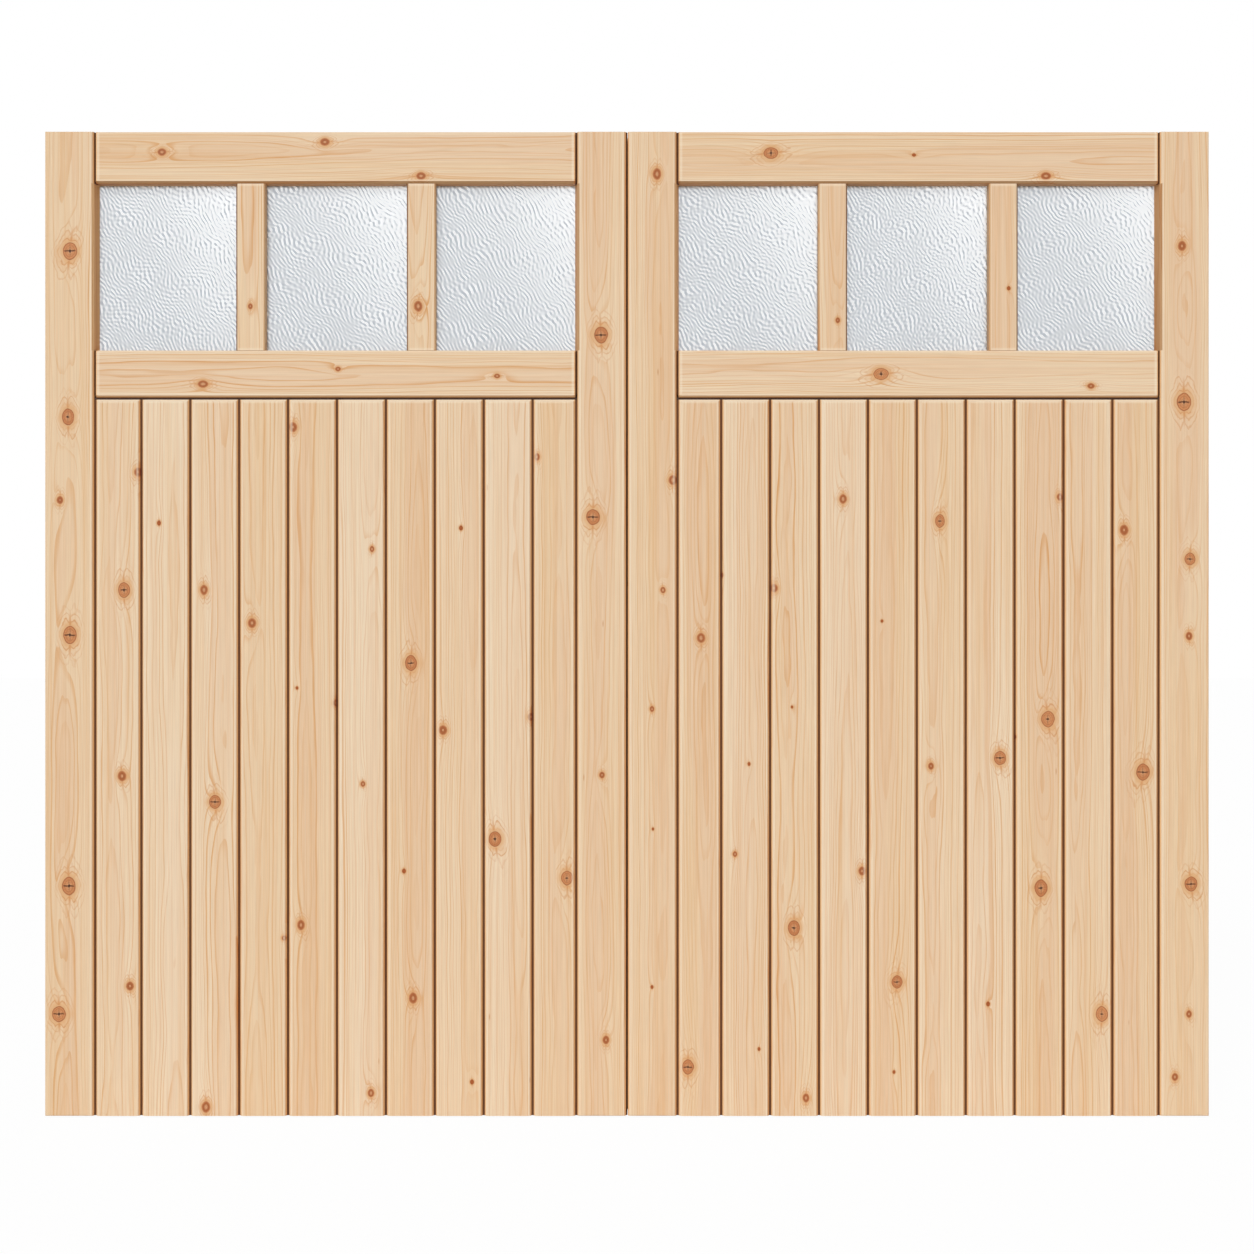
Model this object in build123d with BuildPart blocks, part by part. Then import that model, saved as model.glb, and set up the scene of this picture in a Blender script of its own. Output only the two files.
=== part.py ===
"""Pair of side-hung timber garage doors, in millimetres.

Each leaf is a framed and boarded door: two stiles, a top rail and a middle rail show at
the front, with three obscured panes between the rails. Below them tongued and grooved
boards run down to the ground over a thinner bottom rail and a diagonal brace.
The leaves hang on butt hinges on the inside of their outer edges and open inwards.

The front faces -Y, X runs to the right and Z is up. The origin is the middle of the
mounting face of the lowest hinge on the left, halfway through the leaf's thickness.
The left leaf is modelled, and the right leaf is its mirror image.
"""

import os
from math import atan2, degrees, floor, hypot

from build123d import *

# Leaves
LEAF_WIDTH = 1169.0
LEAF_HEIGHT = 1981.0
LEAF_THICKNESS = 44.0
MEETING_GAP = 4.0
FRAME_CLEARANCE = 3.0

# Framing
STILE_WIDTH = 98.0
TOP_RAIL_HEIGHT = 104.0
MIDDLE_RAIL_HEIGHT = 95.0
BOTTOM_RAIL_HEIGHT = 145.0
BRACE_WIDTH = 95.0
TENON_THICKNESS = 14.0
TENON_SHOULDER = 20.0
FRAME_CHAMFER = 4.5
EDGE_CHAMFER = 1.5
JOINT_GAP = 4.0
JOINT_GAP_DEPTH = 8.0

# Boards
BOARD_COVER = 98.5
BOARD_SETOUT_SHIFT = 2.5
BOARD_THICKNESS = 18.0
BOARD_CHAMFER = 4.5
TONGUE_THICKNESS = 6.0
TONGUE_BITE = 6.0
GROOVE_SIDE_CLEARANCE = 0.1
GROOVE_END_CLEARANCE = 0.8

# Glazing
GLAZING_HEIGHT = 336.0
PANE_COUNT = 3
GLAZING_BAR_WIDTH = 58.0
GLAZING_BAR_SETBACK = 3.0
GLAZING_BAR_CHAMFER = 2.0
REVEAL_DEPTH = 24.0
REVEAL_SPLAY = 5.0
REBATE_WIDTH = 10.0
GLASS_THICKNESS = 4.0
GLASS_EDGE_CLEARANCE = 2.0
BEAD_CHAMFER = 4.0
BEAD_MITRE_GAP = 0.3

# Cover strip behind the meeting gap
STRIP_FIXED_WIDTH = 24.0
STRIP_OVERLAP = 15.0
STRIP_THICKNESS = 16.0
STRIP_CLEARANCE = 5.0

# Hinges
HINGE_HEIGHT = 100.0
HINGE_PLATE_WIDTH = 30.0
HINGE_PLATE_THICKNESS = 2.5
LOWER_HINGE_RISE = 300.0
UPPER_HINGE_DROP = 230.0
KNUCKLE_COUNT = 3
KNUCKLE_RADIUS = 5.5
KNUCKLE_GAP = 0.3
KNUCKLE_STANDOFF = 1.0
PIN_RADIUS = 3.0
PIN_CLEARANCE = 0.05
SCREW_HOLE_RADIUS = 2.6
SCREW_HEAD_RADIUS = 4.0
SCREW_SPACING_ACROSS = 14.0
SCREW_SPACING_ALONG = 70.0

# Places across the leaf, from the mounting face of the left-hand hinges
OUTER_EDGE = FRAME_CLEARANCE
MEETING_EDGE = OUTER_EDGE + LEAF_WIDTH
PANEL_LEFT = OUTER_EDGE + STILE_WIDTH
PANEL_RIGHT = MEETING_EDGE - STILE_WIDTH
PANEL_WIDTH = PANEL_RIGHT - PANEL_LEFT
PANEL_MIDDLE = (PANEL_LEFT + PANEL_RIGHT) / 2
PAIR_MIDDLE = MEETING_EDGE + MEETING_GAP / 2

# Places through the thickness
FRONT = -LEAF_THICKNESS / 2
BACK = LEAF_THICKNESS / 2
BOARD_BACK = FRONT + BOARD_THICKNESS
TONGUE_MIDDLE = FRONT + BOARD_THICKNESS / 2
GLASS_FRONT = FRONT + REVEAL_DEPTH
GLASS_BACK = GLASS_FRONT + GLASS_THICKNESS
LEDGE_THICKNESS = BACK - BOARD_BACK

# Heights, from the middle of the lowest hinge
BOTTOM = -LOWER_HINGE_RISE
TOP = BOTTOM + LEAF_HEIGHT
GLAZING_TOP = TOP - TOP_RAIL_HEIGHT
GLAZING_BOTTOM = GLAZING_TOP - GLAZING_HEIGHT
GLAZING_MIDDLE = (GLAZING_TOP + GLAZING_BOTTOM) / 2
MIDDLE_RAIL_BOTTOM = GLAZING_BOTTOM - MIDDLE_RAIL_HEIGHT
BOARD_TOP = MIDDLE_RAIL_BOTTOM - JOINT_GAP
BOTTOM_RAIL_TOP = BOTTOM + BOTTOM_RAIL_HEIGHT
UPPER_HINGE = TOP - UPPER_HINGE_DROP
HINGE_LEVELS = (0.0, UPPER_HINGE / 2, UPPER_HINGE)

# Tongues and their grooves
TONGUE_LENGTH = JOINT_GAP + TONGUE_BITE
GROOVE_DEPTH = TONGUE_BITE + GROOVE_END_CLEARANCE
GROOVE_WIDTH = TONGUE_THICKNESS + 2 * GROOVE_SIDE_CLEARANCE

# Panes between the glazing bars
PANE_WIDTH = (PANEL_WIDTH - (PANE_COUNT - 1) * GLAZING_BAR_WIDTH) / PANE_COUNT
PANE_PITCH = PANE_WIDTH + GLAZING_BAR_WIDTH

# Hinge pin, midway between the two folded plates and behind the leaf
PIN_X = (HINGE_PLATE_THICKNESS + FRAME_CLEARANCE) / 2
PIN_Y = BACK + KNUCKLE_STANDOFF + KNUCKLE_RADIUS
KNUCKLE_PITCH = HINGE_HEIGHT / KNUCKLE_COUNT


def joint_lines():
    """Left side of each gap beside a board, from the hanging stile to the meeting stile.

    Whole boards fill the middle, and the two boards at the stiles are ripped to fit.
    """
    whole_boards = floor((PANEL_WIDTH - JOINT_GAP) / BOARD_COVER) - 1
    edge_cover = (PANEL_WIDTH - JOINT_GAP - whole_boards * BOARD_COVER) / 2
    first = PANEL_LEFT + edge_cover + BOARD_SETOUT_SHIFT
    inner = [first + i * BOARD_COVER for i in range(whole_boards + 1)]
    return [PANEL_LEFT, *inner, PANEL_RIGHT - JOINT_GAP]


def build_stile(free_edge, panel_edge, free_chamfer, hinged):
    """A stile from its free edge to the edge that holds the rails, boards and glass."""
    inwards = 1 if free_edge > panel_edge else -1
    with BuildPart() as stile:
        with BuildSketch(Plane.XY.offset(BOTTOM)):
            with Locations(((free_edge + panel_edge) / 2, 0)):
                Rectangle(STILE_WIDTH, LEAF_THICKNESS)
        extrude(amount=LEAF_HEIGHT)
        front_corners = stile.edges().filter_by(Axis.Z).group_by(Axis.Y)[0].sort_by(Axis.X)
        panel_corner = front_corners[0] if inwards > 0 else front_corners[-1]
        free_corner = front_corners[-1] if inwards > 0 else front_corners[0]
        chamfer(panel_corner, FRAME_CHAMFER)
        chamfer(free_corner, free_chamfer)
        chamfer(stile.edges().filter_by(Axis.X).group_by(Axis.Y)[0], EDGE_CHAMFER)

        # Groove for the tongues of the boards
        groove_top = BOARD_TOP + TONGUE_LENGTH
        with BuildSketch(Plane.YZ.offset(panel_edge)):
            with Locations((TONGUE_MIDDLE, (BOTTOM + groove_top) / 2)):
                Rectangle(GROOVE_WIDTH, groove_top - BOTTOM)
        extrude(amount=inwards * GROOVE_DEPTH, mode=Mode.SUBTRACT)

        # Splayed reveal beside the panes, at its widest in front of the glass
        with BuildSketch(Plane.XY.offset(GLAZING_BOTTOM)):
            with BuildLine():
                Polyline(
                    (panel_edge, FRONT + FRAME_CHAMFER),
                    (panel_edge, GLASS_FRONT),
                    (panel_edge - inwards * REVEAL_SPLAY, GLASS_FRONT),
                    close=True,
                )
            make_face()
        extrude(amount=GLAZING_HEIGHT)

        # Rebate for the glass and its beads
        with BuildSketch(Plane.YZ.offset(panel_edge)):
            with Locations(((GLASS_FRONT + BACK) / 2, GLAZING_MIDDLE)):
                Rectangle(BACK - GLASS_FRONT, GLAZING_HEIGHT + 2 * REBATE_WIDTH)
        extrude(amount=inwards * REBATE_WIDTH, mode=Mode.SUBTRACT)

        # Mortises, right through the stile
        with BuildSketch(Plane.YZ.offset(panel_edge)):
            for low, high, near, far in RAILS.values():
                with Locations(((near + far) / 2, (low + high) / 2)):
                    Rectangle(TENON_THICKNESS, high - low - 2 * TENON_SHOULDER)
        extrude(amount=inwards * STILE_WIDTH, mode=Mode.SUBTRACT)

        # Housings that let the hinge plates in flush
        if hinged:
            with BuildSketch(Plane.YZ.offset(free_edge)):
                for level in HINGE_LEVELS:
                    with Locations((BACK - HINGE_PLATE_WIDTH / 2, level)):
                        Rectangle(HINGE_PLATE_WIDTH, HINGE_HEIGHT)
            extrude(amount=-inwards * HINGE_PLATE_THICKNESS, mode=Mode.SUBTRACT)
    return stile.part


# Bottom, top, front and back of each rail
RAILS = {
    "top_rail": (GLAZING_TOP, TOP, FRONT, BACK),
    "middle_rail": (MIDDLE_RAIL_BOTTOM, GLAZING_BOTTOM, FRONT, BACK),
    "bottom_rail": (BOTTOM, BOTTOM_RAIL_TOP, BOARD_BACK, BACK),
}


def build_rail(name):
    """A rail with a through tenon at each end, and what is worked along its edges."""
    low, high, near, far = RAILS[name]
    middle = ((near + far) / 2, (low + high) / 2)
    with BuildPart() as rail:
        with BuildSketch(Plane.YZ.offset(PANEL_LEFT)):
            with Locations(middle):
                Rectangle(far - near, high - low)
            glass_middle = (GLASS_FRONT + BACK) / 2
            if name == "top_rail":
                with Locations((glass_middle, low + REBATE_WIDTH / 2)):
                    Rectangle(BACK - GLASS_FRONT, REBATE_WIDTH, mode=Mode.SUBTRACT)
            if name == "middle_rail":
                with Locations((glass_middle, high - REBATE_WIDTH / 2)):
                    Rectangle(BACK - GLASS_FRONT, REBATE_WIDTH, mode=Mode.SUBTRACT)
                with Locations((TONGUE_MIDDLE, low + GROOVE_DEPTH / 2)):
                    Rectangle(GROOVE_WIDTH, GROOVE_DEPTH, mode=Mode.SUBTRACT)
        extrude(amount=PANEL_WIDTH)
        if name == "bottom_rail":
            chamfer(rail.edges().filter_by(Axis.X).group_by(Axis.Y)[-1], EDGE_CHAMFER)
        else:
            # A narrow open joint at the front of each shoulder, then eased arrises
            with BuildSketch(Plane.XZ.offset(-near)):
                with Locations((PANEL_MIDDLE, middle[1])):
                    with GridLocations(PANEL_WIDTH - JOINT_GAP, 1, 2, 1):
                        Rectangle(JOINT_GAP, high - low)
            extrude(amount=-JOINT_GAP_DEPTH, mode=Mode.SUBTRACT)
            front_edges = rail.faces().sort_by(Axis.Y)[0].edges()
            chamfer(front_edges.filter_by(Axis.X), FRAME_CHAMFER)
            front_edges = rail.faces().sort_by(Axis.Y)[0].edges()
            chamfer(front_edges.filter_by(Axis.Z), EDGE_CHAMFER)
        with BuildSketch(Plane.YZ.offset(OUTER_EDGE)):
            with Locations(middle):
                Rectangle(TENON_THICKNESS, high - low - 2 * TENON_SHOULDER)
        extrude(amount=LEAF_WIDTH)
    return rail.part


def build_brace():
    """The diagonal from the hinge corner at the bottom up to the meeting stile."""
    opening_height = MIDDLE_RAIL_BOTTOM - BOTTOM_RAIL_TOP
    middle = (PANEL_MIDDLE, (MIDDLE_RAIL_BOTTOM + BOTTOM_RAIL_TOP) / 2)
    slope = degrees(atan2(opening_height, PANEL_WIDTH))
    with BuildPart() as brace:
        with BuildSketch(Plane.XZ.offset(-BACK)):
            with Locations(middle):
                Rectangle(PANEL_WIDTH, opening_height)
                Rectangle(
                    2 * hypot(PANEL_WIDTH, opening_height),
                    BRACE_WIDTH,
                    rotation=slope,
                    mode=Mode.INTERSECT,
                )
        extrude(amount=LEDGE_THICKNESS)
        chamfer(brace.faces().sort_by(Axis.Y)[-1].edges(), EDGE_CHAMFER)
    return brace.part


def build_board(left, right, tongue_on_left):
    """A board between two shoulders, with V-jointed edges and a tongue at its top end."""
    with BuildPart() as board:
        with BuildSketch(Plane.XY.offset(BOTTOM)):
            with Locations(((left + right) / 2, TONGUE_MIDDLE)):
                Rectangle(right - left, BOARD_THICKNESS)
        extrude(amount=BOARD_TOP - BOTTOM)
        front_edges = board.faces().sort_by(Axis.Y)[0].edges()
        chamfer(front_edges.sort_by(Axis.Z)[1:], BOARD_CHAMFER)
        with BuildSketch(Plane.XY.offset(BOTTOM)):
            with Locations((right + TONGUE_LENGTH / 2, TONGUE_MIDDLE)):
                Rectangle(TONGUE_LENGTH, TONGUE_THICKNESS)
            if tongue_on_left:
                with Locations((left - TONGUE_LENGTH / 2, TONGUE_MIDDLE)):
                    Rectangle(TONGUE_LENGTH, TONGUE_THICKNESS)
        extrude(amount=BOARD_TOP - BOTTOM)
        with BuildSketch(Plane.XY.offset(BOARD_TOP)):
            with Locations(((left + right) / 2, TONGUE_MIDDLE)):
                Rectangle(right - left, TONGUE_THICKNESS)
        extrude(amount=TONGUE_LENGTH)
        if not tongue_on_left:
            with BuildSketch(Plane.XY.offset(BOTTOM)):
                with Locations((left + GROOVE_DEPTH / 2, TONGUE_MIDDLE)):
                    Rectangle(GROOVE_DEPTH, GROOVE_WIDTH)
            extrude(amount=BOARD_TOP + TONGUE_LENGTH - BOTTOM, mode=Mode.SUBTRACT)
    return board.part


def build_glazing_bar(middle_x):
    """An upright between two panes, rebated behind for the glass on both sides."""
    with BuildPart() as bar:
        bar_front = FRONT + GLAZING_BAR_SETBACK
        with BuildSketch(Plane.XY.offset(GLAZING_BOTTOM)):
            with Locations((middle_x, (bar_front + GLASS_FRONT) / 2)):
                Rectangle(GLAZING_BAR_WIDTH, GLASS_FRONT - bar_front)
        extrude(amount=GLAZING_HEIGHT)
        chamfer(bar.edges().filter_by(Axis.Z).group_by(Axis.Y)[0], GLAZING_BAR_CHAMFER)
        with BuildSketch(Plane.XY.offset(GLAZING_BOTTOM - REBATE_WIDTH)):
            with Locations((middle_x, (GLASS_FRONT + BACK) / 2)):
                Rectangle(GLAZING_BAR_WIDTH - 2 * REBATE_WIDTH, BACK - GLASS_FRONT)
        extrude(amount=GLAZING_HEIGHT + 2 * REBATE_WIDTH)
    return bar.part


def build_glass():
    """The row of panes, which stand in their rebates with room round their edges."""
    lap = REBATE_WIDTH - GLASS_EDGE_CLEARANCE
    with BuildPart() as glass:
        with BuildSketch(Plane.XZ.offset(-GLASS_BACK)):
            with Locations((PANEL_MIDDLE, GLAZING_MIDDLE)):
                with GridLocations(PANE_PITCH, 1, PANE_COUNT, 1):
                    Rectangle(PANE_WIDTH + 2 * lap, GLAZING_HEIGHT + 2 * lap)
        extrude(amount=GLASS_THICKNESS)
    return glass.part


def build_bead(plane, length):
    """A mitred bead along one wall of a rebate, in a plane whose y axis points at the pane."""
    long_side = length / 2 - BEAD_MITRE_GAP
    short_side = long_side - REBATE_WIDTH
    with BuildPart() as bead:
        with BuildSketch(plane):
            with BuildLine():
                Polyline(
                    (-long_side, 0),
                    (long_side, 0),
                    (short_side, REBATE_WIDTH),
                    (-short_side, REBATE_WIDTH),
                    close=True,
                )
            make_face()
        extrude(amount=BACK - GLASS_BACK)
        sight_edge = bead.edges().filter_by(Axis((0, 0, 0), plane.x_dir)).sort_by(Axis.Y)
        chamfer(sight_edge[-2:].sort_by(SortBy.LENGTH)[0], BEAD_CHAMFER)
    return bead.part


def build_beads():
    """Four beads behind each pane, as separate lengths."""
    half_width = PANE_WIDTH / 2 + REBATE_WIDTH
    half_height = GLAZING_HEIGHT / 2 + REBATE_WIDTH
    walls = (
        ((0, -half_height), (1, 0, 0), 2 * half_width),
        ((0, half_height), (-1, 0, 0), 2 * half_width),
        ((-half_width, 0), (0, 0, -1), 2 * half_height),
        ((half_width, 0), (0, 0, 1), 2 * half_height),
    )
    lengths = []
    for pane in range(PANE_COUNT):
        pane_x = PANEL_MIDDLE + (pane - (PANE_COUNT - 1) / 2) * PANE_PITCH
        for (across, up), along, length in walls:
            corner = (pane_x + across, BACK, GLAZING_MIDDLE + up)
            lengths.append(build_bead(Plane(corner, x_dir=along, z_dir=(0, -1, 0)), length))
    return Compound(children=lengths)


def build_cover_strip():
    """The strip behind the meeting gap, set back where it laps behind the other leaf."""
    with BuildPart() as strip:
        fixed_left = MEETING_EDGE - STRIP_FIXED_WIDTH
        lap_right = MEETING_EDGE + MEETING_GAP + STRIP_OVERLAP
        with BuildSketch(Plane.XY.offset(BOTTOM)):
            with Locations((fixed_left, BACK)):
                Rectangle(
                    lap_right - fixed_left, STRIP_THICKNESS, align=(Align.MIN, Align.MIN)
                )
            with Locations((lap_right, BACK)):
                Rectangle(
                    lap_right - MEETING_EDGE,
                    STRIP_CLEARANCE,
                    align=(Align.MAX, Align.MIN),
                    mode=Mode.SUBTRACT,
                )
        extrude(amount=LEAF_HEIGHT)
        chamfer(strip.edges().filter_by(Axis.Z).group_by(Axis.Y)[-1], FRAME_CHAMFER)
    return strip.part


def build_hinges(plate_x, knuckles, on_frame):
    """One plate of each hinge with its knuckles. The plates on the frame hold the pins."""
    with BuildPart() as hinges:
        for level in HINGE_LEVELS:
            foot = level - HINGE_HEIGHT / 2
            with BuildSketch(Plane.XY.offset(foot)):
                with Locations((plate_x, BACK - HINGE_PLATE_WIDTH / 2)):
                    Rectangle(
                        HINGE_PLATE_THICKNESS,
                        HINGE_PLATE_WIDTH,
                        align=(Align.MIN, Align.CENTER),
                    )
            extrude(amount=HINGE_HEIGHT)
            for knuckle in knuckles:
                base = foot + knuckle * KNUCKLE_PITCH + KNUCKLE_GAP / 2
                with BuildSketch(Plane.XY.offset(base)):
                    with Locations((PIN_X, PIN_Y)):
                        Circle(KNUCKLE_RADIUS)
                    with Locations((plate_x, BACK)):
                        Rectangle(
                            HINGE_PLATE_THICKNESS,
                            PIN_Y - BACK,
                            align=(Align.MIN, Align.MIN),
                        )
                extrude(amount=KNUCKLE_PITCH - KNUCKLE_GAP)
            pin_radius = PIN_RADIUS if on_frame else PIN_RADIUS + PIN_CLEARANCE
            with BuildSketch(Plane.XY.offset(foot + KNUCKLE_GAP / 2)):
                with Locations((PIN_X, PIN_Y)):
                    Circle(pin_radius)
            pin_length = HINGE_HEIGHT - KNUCKLE_GAP
            extrude(amount=pin_length, mode=Mode.ADD if on_frame else Mode.SUBTRACT)
            if on_frame:
                plate_face = Plane(
                    (plate_x + HINGE_PLATE_THICKNESS, BACK - HINGE_PLATE_WIDTH / 2, level),
                    x_dir=(0, 1, 0),
                    z_dir=(1, 0, 0),
                )
                with Locations(plate_face):
                    with GridLocations(SCREW_SPACING_ACROSS, SCREW_SPACING_ALONG, 2, 2):
                        CounterSinkHole(
                            SCREW_HOLE_RADIUS, SCREW_HEAD_RADIUS, depth=HINGE_PLATE_THICKNESS
                        )
    return hinges.part


def left_leaf():
    """Every piece of the left leaf, with the hinge plates of its frame, by node name."""
    pieces = {
        "hanging_stile": build_stile(OUTER_EDGE, PANEL_LEFT, EDGE_CHAMFER, hinged=True),
        "meeting_stile": build_stile(MEETING_EDGE, PANEL_RIGHT, FRAME_CHAMFER, hinged=False),
        "brace": build_brace(),
        "glass": build_glass(),
        "glazing_beads": build_beads(),
    }
    for name in RAILS:
        pieces[name] = build_rail(name)
    lines = joint_lines()
    for number, (start, end) in enumerate(zip(lines, lines[1:]), start=1):
        board = build_board(start + JOINT_GAP, end, tongue_on_left=number == 1)
        pieces[f"board_{number:02d}"] = board
    for number in range(1, PANE_COUNT):
        middle_x = PANEL_MIDDLE + (number - PANE_COUNT / 2) * PANE_PITCH
        pieces[f"glazing_bar_{number}"] = build_glazing_bar(middle_x)
    fixed_knuckles = range(0, KNUCKLE_COUNT, 2)
    moving_knuckles = range(1, KNUCKLE_COUNT, 2)
    pieces["frame_hinges"] = build_hinges(0, fixed_knuckles, on_frame=True)
    pieces["door_hinges"] = build_hinges(OUTER_EDGE, moving_knuckles, on_frame=False)
    return pieces


def main():
    """Writes one STEP file for each piece of the left leaf and of its mirror image."""
    os.makedirs("parts", exist_ok=True)
    mirror_plane = Plane.YZ.offset(PAIR_MIDDLE)
    nodes = {"left_cover_strip": build_cover_strip()}
    for name, piece in left_leaf().items():
        nodes[f"left_{name}"] = piece
        nodes[f"right_{name}"] = mirror(piece, about=mirror_plane)
    for name, piece in nodes.items():
        piece.label = name
        export_step(piece, f"parts/{name}.step")


main()
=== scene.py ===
"""Looks of a pair of side-hung pine garage doors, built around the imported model.

Every timber keeps its own solid and gets pine of its own: growth rings round a wandering
pith, knots where the photograph shows them, fibres and resin flecks. The panes are rolled
glass with a rippled face, the hinges are zinc plated steel with screws, and rubber closes the
gap between the leaves and the heads of the joints between the boards.
Lengths are in metres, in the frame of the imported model.
"""

import math

import bpy
import numpy as np
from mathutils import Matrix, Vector


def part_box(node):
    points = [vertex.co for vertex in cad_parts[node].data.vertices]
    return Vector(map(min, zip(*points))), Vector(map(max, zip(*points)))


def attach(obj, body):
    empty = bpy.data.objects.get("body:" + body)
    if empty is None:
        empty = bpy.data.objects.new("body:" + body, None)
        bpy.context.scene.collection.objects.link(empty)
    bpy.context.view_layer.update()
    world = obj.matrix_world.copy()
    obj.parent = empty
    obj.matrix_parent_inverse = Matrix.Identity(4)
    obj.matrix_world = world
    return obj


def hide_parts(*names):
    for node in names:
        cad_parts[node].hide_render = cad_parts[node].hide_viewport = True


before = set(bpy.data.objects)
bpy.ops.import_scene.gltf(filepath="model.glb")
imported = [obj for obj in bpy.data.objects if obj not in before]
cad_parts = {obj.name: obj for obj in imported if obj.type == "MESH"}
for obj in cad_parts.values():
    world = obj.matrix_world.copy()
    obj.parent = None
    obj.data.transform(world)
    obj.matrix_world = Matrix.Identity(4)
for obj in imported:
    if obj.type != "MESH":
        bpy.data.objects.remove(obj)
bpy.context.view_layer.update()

# The photograph
PHOTO_PIXELS = 1254
PHOTO_SCALE = 0.0020122
PHOTO_DOOR_LEFT = 45.0
PHOTO_DOOR_BOTTOM = 1116.0
CAMERA_DISTANCE = 3.50
SENSOR_WIDTH = 36.0

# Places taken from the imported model
LEFT_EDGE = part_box("left_hanging_stile")[0].x
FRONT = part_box("left_hanging_stile")[0].y
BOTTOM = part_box("left_hanging_stile")[0].z
GLAZING_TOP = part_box("left_top_rail")[0].z
GLAZING_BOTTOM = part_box("left_middle_rail")[1].z
PANEL_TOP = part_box("left_middle_rail")[0].z
PAIR_MIDDLE = (LEFT_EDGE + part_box("right_hanging_stile")[1].x) / 2
SIDES = ("left", "right")
BOARD_COUNT = 10
PANE_COUNT = 3

# Open joints
JOINT_GAP = 0.004
TONGUE_LENGTH = 0.010
CHAMFER = 0.0045
RIM = 0.0020
REVEAL_DEPTH = 0.024

# Pine
RING_SPACING = 0.0042
RING_WANDER = 0.034

# Rippled glass
RIPPLE_GRID = 0.0014
RIPPLE_HEIGHT = 0.0003
RIPPLE_LENGTH = 0.0076
RIPPLE_WAVES = 40
RIPPLE_TOP = 2.4
RIPPLE_BEND = 0.0045
RIPPLE_SWAY = 0.085

# Hinge screws, on the plates of the leaves
HINGE_LEVELS = (0.0, 0.7255, 1.451)
SCREW_PLACES = [(y, z) for y in (0.0, 0.014) for z in (-0.035, 0.035)]
SCREW_RADIUS = 0.004
SCREW_RISE = 0.00022
SCREW_GRID = 20
CROSS_ARM = 0.62
CROSS_HALF_WIDTH = 0.14
CROSS_DEPTH = 0.0012

# Rubber seal in the gap between the leaves, on the edge of the left one
SEAL_SETBACK = 0.0065
SEAL_WIDTH = 0.010
SEAL_BASE = 0.0010
SEAL_REACH = 0.0030
SEAL_STEPS = 32

# Rubber stops at the heads of the joints between the boards
STOP_DEPTH = 0.0090
STOP_BULGE = 0.0024
STOP_HALF_HEIGHT = 0.0034
STOP_HALF_WIDTH = 0.0085
STOP_STEPS = 12

# Light and floor
KEY_ENERGY = 1.62
KEY_ANGLE = math.radians(16)
KEY_DIRECTION = Vector((0.32, 0.72, -0.58))
SKY_LIGHT = 0.48
FLOOR_HALF_WIDTH = 30.0
FLOOR_GAP = 0.004
FLOOR_WHITE = 0.965


def srgb(red, green, blue):
    """A colour given as it is seen on screen, 0 to 255, in linear light."""
    def linear(value):
        share = value / 255
        return share / 12.92 if share <= 0.04045 else ((share + 0.055) / 1.055) ** 2.4
    return (linear(red), linear(green), linear(blue), 1.0)


CREAM = srgb(238, 217, 188)
HONEY = srgb(233, 206, 171)
ROSE = srgb(227, 191, 156)
GLOW = srgb(227, 187, 138)
AMBER = srgb(212, 148, 80)
FLECK = srgb(190, 118, 62)
# Pale arrises, partly from wear and partly a painted highlight
WORN_EDGE_AND_HIGHLIGHT = srgb(248, 232, 206)
KNOT_NEAR = srgb(220, 168, 114)
KNOT_LINE = srgb(204, 136, 78)
KNOT_HALO = srgb(222, 172, 120)
KNOT_BODY = srgb(206, 141, 92)
KNOT_RING = srgb(178, 106, 62)
KNOT_RIM = srgb(158, 86, 46)
KNOT_DOT = srgb(166, 88, 42)
KNOT_HEART = srgb(220, 168, 122)
KNOT_CHECK = srgb(60, 27, 17)
# Painted shade: dark in open joints, and tints for chamfers turned from the lamp, undersides, lit jambs,
# the deep lit side of joints, bar rims and reveals
PAINTED_JOINT_SHADE = srgb(80, 36, 13)
PAINTED_LEVEL_JOINT_SHADE = srgb(38, 17, 7)
SHADE_TINT = (0.92, 0.62, 0.36, 1.0)
UNDERSIDE_SHADE_TINT = (0.70, 0.67, 0.64, 1.0)
WARM_SHADE_TINT = (0.95, 0.72, 0.48, 1.0)
REVEAL_CHAMFER_SHADE_TINT = (0.86, 0.68, 0.50, 1.0)
LIT_JAMB_SHADE_TINT = (0.75, 0.74, 0.75, 1.0)
RIM_SHADE_TINT = (0.84, 0.70, 0.55, 1.0)
FAR_RIM_SHADOW_TINT = (0.30, 0.20, 0.14, 1.0)
REVEAL_SHADE_TINT = (1.0, 0.90, 0.78, 1.0)

# How warm each board is, from the hanging stile to the meeting stile
BOARD_WARMTH = {
    "left": (0.50, 0.12, 0.25, 0.90, 0.70, 0.10, 0.80, 0.45, 0.05, 0.75),
    "right": (0.85, 0.42, 0.90, 0.10, 0.60, 0.75, 0.00, 0.70, 0.20, 0.80),
}

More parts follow.
